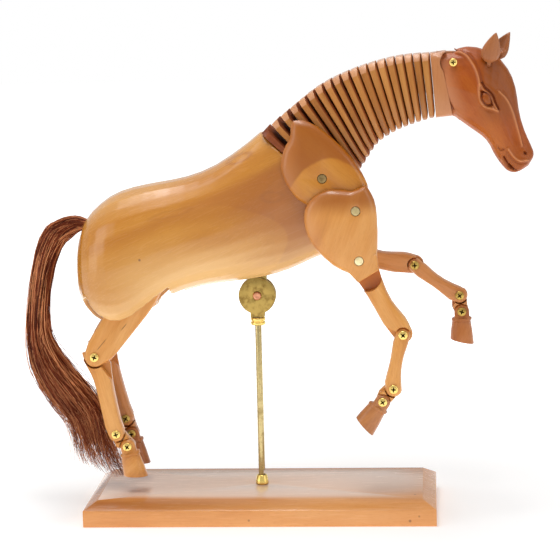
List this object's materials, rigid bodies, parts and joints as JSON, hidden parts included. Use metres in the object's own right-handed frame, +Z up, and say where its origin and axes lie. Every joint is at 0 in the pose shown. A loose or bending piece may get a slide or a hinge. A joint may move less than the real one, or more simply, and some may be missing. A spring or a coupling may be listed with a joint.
{
  "type": "jointed wooden horse mannequin",
  "caption": "Wooden horse for drawing from, with a neck of thin leaves, legs that bend at half-lap joints, a hair tail and a brass rod hinged under its belly on a chamfered board.",
  "frame": {"origin": "middle of the board's underside", "axes": "+X is the way the horse looks, along the board; +Y is the horse's left, the side away from the picture's camera; +Z is up"},
  "size_m": [0.3119, 0.092, 0.2914],
  "materials": {
    "honey_wood": "lacquered, satin gloss",
    "red_wood": "stained and lacquered, satin gloss",
    "dark_wood": "dark stained, satin",
    "board_wood": "lacquered, gloss",
    "brass": "bright turned",
    "old_brass": "tarnished",
    "pin_metal": "dull flat ends",
    "hair": "combed chestnut hair"
  },
  "bodies": {
    "base": {"base_board": "board_wood", "base_ferrule": "brass"},
    "stand": {"support_rod": "brass", "hinge_collar": "brass", "hinge_cheek_near": "old_brass", "hinge_cheek_far": "old_brass", "hinge_rivet": "brass"},
    "trunk": {"torso": "honey_wood", "belly_lug": "old_brass", "neck_cap": "dark_wood", "tail": "hair", "shoulder_pin_near": "pin_metal", "shoulder_pin_far": "pin_metal"},
    "leaf_01": {"neck_leaf_01": "honey_wood"},
    "leaf_02": {"neck_leaf_02": "honey_wood"},
    "leaf_03": {"neck_leaf_03": "honey_wood"},
    "leaf_04": {"neck_leaf_04": "honey_wood"},
    "leaf_05": {"neck_leaf_05": "honey_wood"},
    "leaf_06": {"neck_leaf_06": "honey_wood"},
    "leaf_07": {"neck_leaf_07": "honey_wood"},
    "leaf_08": {"neck_leaf_08": "honey_wood"},
    "leaf_09": {"neck_leaf_09": "honey_wood"},
    "leaf_10": {"neck_leaf_10": "honey_wood"},
    "leaf_11": {"neck_leaf_11": "honey_wood"},
    "leaf_12": {"neck_leaf_12": "honey_wood"},
    "leaf_13": {"neck_leaf_13": "honey_wood"},
    "leaf_14": {"neck_leaf_14": "honey_wood"},
    "leaf_15": {"neck_leaf_15": "honey_wood"},
    "leaf_16": {"neck_leaf_16": "honey_wood"},
    "leaf_17": {"neck_leaf_17": "honey_wood"},
    "leaf_18": {"neck_leaf_18": "honey_wood"},
    "poll": {"poll_block": "honey_wood"},
    "head": {"head": "red_wood", "ear_near": "red_wood", "ear_far": "red_wood", "poll_screw": "brass"},
    "blade_near": {"scapula_near": "honey_wood"},
    "arm_near": {"humerus_near": "honey_wood", "arm_pin_near": "pin_metal", "elbow_pin_near": "pin_metal"},
    "forearm_near": {"forearm_near": "honey_wood"},
    "fore_cannon_near": {"fore_cannon_near": "honey_wood"},
    "fore_pastern_near": {"fore_pastern_near": "honey_wood"},
    "fore_hoof_near": {"fore_hoof_near": "honey_wood"},
    "blade_far": {"scapula_far": "red_wood"},
    "arm_far": {"humerus_far": "red_wood", "arm_pin_far": "pin_metal", "elbow_pin_far": "pin_metal"},
    "forearm_far": {"forearm_far": "red_wood"},
    "fore_cannon_far": {"fore_cannon_far": "red_wood"},
    "fore_pastern_far": {"fore_pastern_far": "red_wood"},
    "fore_hoof_far": {"fore_hoof_far": "red_wood"},
    "thigh_near": {"thigh_near": "honey_wood"},
    "hind_cannon_near": {"hind_cannon_near": "honey_wood"},
    "hind_pastern_near": {"hind_pastern_near": "honey_wood"},
    "hind_hoof_near": {"hind_hoof_near": "honey_wood"},
    "thigh_far": {"thigh_far": "red_wood"},
    "hind_cannon_far": {"hind_cannon_far": "red_wood"},
    "hind_pastern_far": {"hind_pastern_far": "red_wood"},
    "hind_hoof_far": {"hind_hoof_far": "red_wood"}
  },
  "joints": [
    {"name": "stand_swivel", "type": "hinge", "parent": "base", "child": "stand", "pos_m": [-0.0012, 0, 0.0149], "axis": [0, 0, 1], "range_deg": [-180, 180]},
    {"name": "body_tilt", "type": "hinge", "parent": "stand", "child": "trunk", "pos_m": [-0.0012, 0, 0.134], "axis": [0, 1, 0], "range_deg": [0, 32]},
    {"name": "neck_nod", "type": "hinge", "parent": "trunk", "child": "leaf_01", "pos_m": [0.02139, 0, 0.22459], "axis": [0, -1, 0], "range_deg": [-0.5, 1.6]},
    {"name": "neck_turn", "type": "hinge", "parent": "leaf_01", "child": "leaf_02", "pos_m": [0.02637, 0, 0.2295], "axis": [-0.6441, 0, 0.7649], "range_deg": [-2, 2]},
    {"name": "neck_nod_03", "type": "hinge", "parent": "leaf_02", "child": "leaf_03", "pos_m": [0.03114, 0, 0.23408], "axis": [0, -1, 0], "range_deg": [-0.5, 1.6]},
    {"name": "neck_turn_04", "type": "hinge", "parent": "leaf_03", "child": "leaf_04", "pos_m": [0.03573, 0, 0.2384], "axis": [-0.5724, 0, 0.82], "range_deg": [-2, 2]},
    {"name": "neck_nod_05", "type": "hinge", "parent": "leaf_04", "child": "leaf_05", "pos_m": [0.04014, 0, 0.24242], "axis": [0, -1, 0], "range_deg": [-0.5, 1.6]},
    {"name": "neck_turn_06", "type": "hinge", "parent": "leaf_05", "child": "leaf_06", "pos_m": [0.04446, 0, 0.24604], "axis": [-0.501, 0, 0.8655], "range_deg": [-2, 2]},
    {"name": "neck_nod_07", "type": "hinge", "parent": "leaf_06", "child": "leaf_07", "pos_m": [0.04883, 0, 0.24936], "axis": [0, -1, 0], "range_deg": [-0.5, 1.6]},
    {"name": "neck_turn_08", "type": "hinge", "parent": "leaf_07", "child": "leaf_08", "pos_m": [0.0533, 0, 0.25242], "axis": [-0.4334, 0, 0.9012], "range_deg": [-2, 2]},
    {"name": "neck_nod_09", "type": "hinge", "parent": "leaf_08", "child": "leaf_09", "pos_m": [0.05784, 0, 0.25515], "axis": [0, -1, 0], "range_deg": [-0.5, 1.6]},
    {"name": "neck_turn_10", "type": "hinge", "parent": "leaf_09", "child": "leaf_10", "pos_m": [0.06251, 0, 0.25752], "axis": [-0.3656, 0, 0.9308], "range_deg": [-2, 2]},
    {"name": "neck_nod_11", "type": "hinge", "parent": "leaf_10", "child": "leaf_11", "pos_m": [0.06733, 0, 0.2596], "axis": [0, -1, 0], "range_deg": [-0.5, 1.6]},
    {"name": "neck_turn_12", "type": "hinge", "parent": "leaf_11", "child": "leaf_12", "pos_m": [0.07223, 0, 0.26147], "axis": [-0.3003, 0, 0.9539], "range_deg": [-2, 2]},
    {"name": "neck_nod_13", "type": "hinge", "parent": "leaf_12", "child": "leaf_13", "pos_m": [0.07716, 0, 0.26316], "axis": [0, -1, 0], "range_deg": [-0.5, 1.6]},
    {"name": "neck_turn_14", "type": "hinge", "parent": "leaf_13", "child": "leaf_14", "pos_m": [0.08215, 0, 0.26463], "axis": [-0.2228, 0, 0.9749], "range_deg": [-2, 2]},
    {"name": "neck_nod_15", "type": "hinge", "parent": "leaf_14", "child": "leaf_15", "pos_m": [0.08718, 0, 0.26586], "axis": [0, -1, 0], "range_deg": [-0.5, 1.6]},
    {"name": "neck_turn_16", "type": "hinge", "parent": "leaf_15", "child": "leaf_16", "pos_m": [0.09216, 0, 0.2668], "axis": [-0.1544, 0, 0.988], "range_deg": [-2, 2]},
    {"name": "neck_nod_17", "type": "hinge", "parent": "leaf_16", "child": "leaf_17", "pos_m": [0.09703, 0, 0.26747], "axis": [0, -1, 0], "range_deg": [-0.5, 1.6]},
    {"name": "neck_turn_18", "type": "hinge", "parent": "leaf_17", "child": "leaf_18", "pos_m": [0.10183, 0, 0.26801], "axis": [-0.0985, 0, 0.9951], "range_deg": [-2, 2]},
    {"name": "neck_nod_19", "type": "hinge", "parent": "leaf_18", "child": "poll", "pos_m": [0.10661, 0, 0.26849], "axis": [0, -1, 0], "range_deg": [-0.5, 1.6]},
    {"name": "head_nod", "type": "hinge", "parent": "poll", "child": "head", "pos_m": [0.1199, 0, 0.2746], "axis": [0, 1, 0], "range_deg": [-28, 0.3]},
    {"name": "shoulder_near", "type": "hinge", "parent": "trunk", "child": "blade_near", "pos_m": [0.0413, -0.0233, 0.208], "axis": [0, -1, 0], "range_deg": [-12, 12]},
    {"name": "upper_arm_near", "type": "hinge", "parent": "blade_near", "child": "arm_near", "pos_m": [0.06107, -0.0265, 0.1891], "axis": [0, -1, 0], "range_deg": [-20, 15]},
    {"name": "elbow_near", "type": "hinge", "parent": "arm_near", "child": "forearm_near", "pos_m": [0.06259, -0.0264, 0.15914], "axis": [0, -1, 0], "range_deg": [-20, 75]},
    {"name": "knee_near", "type": "hinge", "parent": "forearm_near", "child": "fore_cannon_near", "pos_m": [0.08812, -0.0264, 0.11384], "axis": [0, -1, 0], "range_deg": [-32, 45]},
    {"name": "fore_fetlock_near", "type": "hinge", "parent": "fore_cannon_near", "child": "fore_pastern_near", "pos_m": [0.08199, -0.0264, 0.0808], "axis": [0, -1, 0], "range_deg": [-26, 69]},
    {"name": "fore_coffin_near", "type": "hinge", "parent": "fore_pastern_near", "child": "fore_hoof_near", "pos_m": [0.07535, -0.0264, 0.07294], "axis": [0, -1, 0], "range_deg": [-44, 17]},
    {"name": "shoulder_far", "type": "hinge", "parent": "trunk", "child": "blade_far", "pos_m": [0.0413, 0.0233, 0.208], "axis": [0, -1, 0], "range_deg": [-3, 16]},
    {"name": "upper_arm_far", "type": "hinge", "parent": "blade_far", "child": "arm_far", "pos_m": [0.05671, 0.0265, 0.18541], "axis": [0, -1, 0], "range_deg": [-4.5, 15]},
    {"name": "elbow_far", "type": "hinge", "parent": "arm_far", "child": "forearm_far", "pos_m": [0.04422, 0.0264, 0.15813], "axis": [0, -1, 0], "range_deg": [-97, 3]},
    {"name": "knee_far", "type": "hinge", "parent": "forearm_far", "child": "fore_cannon_far", "pos_m": [0.09518, 0.0264, 0.14776], "axis": [0, -1, 0], "range_deg": [-48, 20]},
    {"name": "fore_fetlock_far", "type": "hinge", "parent": "fore_cannon_far", "child": "fore_pastern_far", "pos_m": [0.1227, 0.0264, 0.12849], "axis": [0, -1, 0], "range_deg": [-8, 87]},
    {"name": "fore_coffin_far", "type": "hinge", "parent": "fore_pastern_far", "child": "fore_hoof_far", "pos_m": [0.12398, 0.0264, 0.11827], "axis": [0, -1, 0], "range_deg": [-32, 29]},
    {"name": "hip_near", "type": "hinge", "parent": "trunk", "child": "thigh_near", "pos_m": [-0.068, -0.017, 0.147], "axis": [0, -1, 0], "range_deg": [-8, 36]},
    {"name": "hock_near", "type": "hinge", "parent": "thigh_near", "child": "hind_cannon_near", "pos_m": [-0.10015, -0.017, 0.10005], "axis": [0, -1, 0], "range_deg": [-12, 12]},
    {"name": "hind_fetlock_near", "type": "hinge", "parent": "hind_cannon_near", "child": "hind_pastern_near", "pos_m": [-0.08848, -0.017, 0.05184], "axis": [0, -1, 0], "range_deg": [-36, 12]},
    {"name": "hind_coffin_near", "type": "hinge", "parent": "hind_pastern_near", "child": "hind_hoof_near", "pos_m": [-0.08182, -0.017, 0.04399], "axis": [0, -1, 0], "range_deg": [-11, 50]},
    {"name": "hip_far", "type": "hinge", "parent": "trunk", "child": "thigh_far", "pos_m": [-0.068, 0.017, 0.147], "axis": [0, -1, 0], "range_deg": [-11, 38]},
    {"name": "hock_far", "type": "hinge", "parent": "thigh_far", "child": "hind_cannon_far", "pos_m": [-0.10185, 0.017, 0.10126], "axis": [0, -1, 0], "range_deg": [-35, 7]},
    {"name": "hind_fetlock_far", "type": "hinge", "parent": "hind_cannon_far", "child": "hind_pastern_far", "pos_m": [-0.08734, 0.017, 0.05383], "axis": [0, -1, 0], "range_deg": [-57, 37]},
    {"name": "hind_coffin_far", "type": "hinge", "parent": "hind_pastern_far", "child": "hind_hoof_far", "pos_m": [-0.08408, 0.017, 0.04406], "axis": [0, -1, 0], "range_deg": [-31, 30]}
  ],
  "couplings": [
    {"joint": "neck_nod_03", "follows": "neck_nod", "ratio": 1},
    {"joint": "neck_nod_05", "follows": "neck_nod", "ratio": 1},
    {"joint": "neck_nod_07", "follows": "neck_nod", "ratio": 1},
    {"joint": "neck_nod_09", "follows": "neck_nod", "ratio": 1},
    {"joint": "neck_nod_11", "follows": "neck_nod", "ratio": 1},
    {"joint": "neck_nod_13", "follows": "neck_nod", "ratio": 1},
    {"joint": "neck_nod_15", "follows": "neck_nod", "ratio": 1},
    {"joint": "neck_nod_17", "follows": "neck_nod", "ratio": 1},
    {"joint": "neck_nod_19", "follows": "neck_nod", "ratio": 1},
    {"joint": "neck_turn_04", "follows": "neck_turn", "ratio": 1},
    {"joint": "neck_turn_06", "follows": "neck_turn", "ratio": 1},
    {"joint": "neck_turn_08", "follows": "neck_turn", "ratio": 1},
    {"joint": "neck_turn_10", "follows": "neck_turn", "ratio": 1},
    {"joint": "neck_turn_12", "follows": "neck_turn", "ratio": 1},
    {"joint": "neck_turn_14", "follows": "neck_turn", "ratio": 1},
    {"joint": "neck_turn_16", "follows": "neck_turn", "ratio": 1},
    {"joint": "neck_turn_18", "follows": "neck_turn", "ratio": 1}
  ]
}
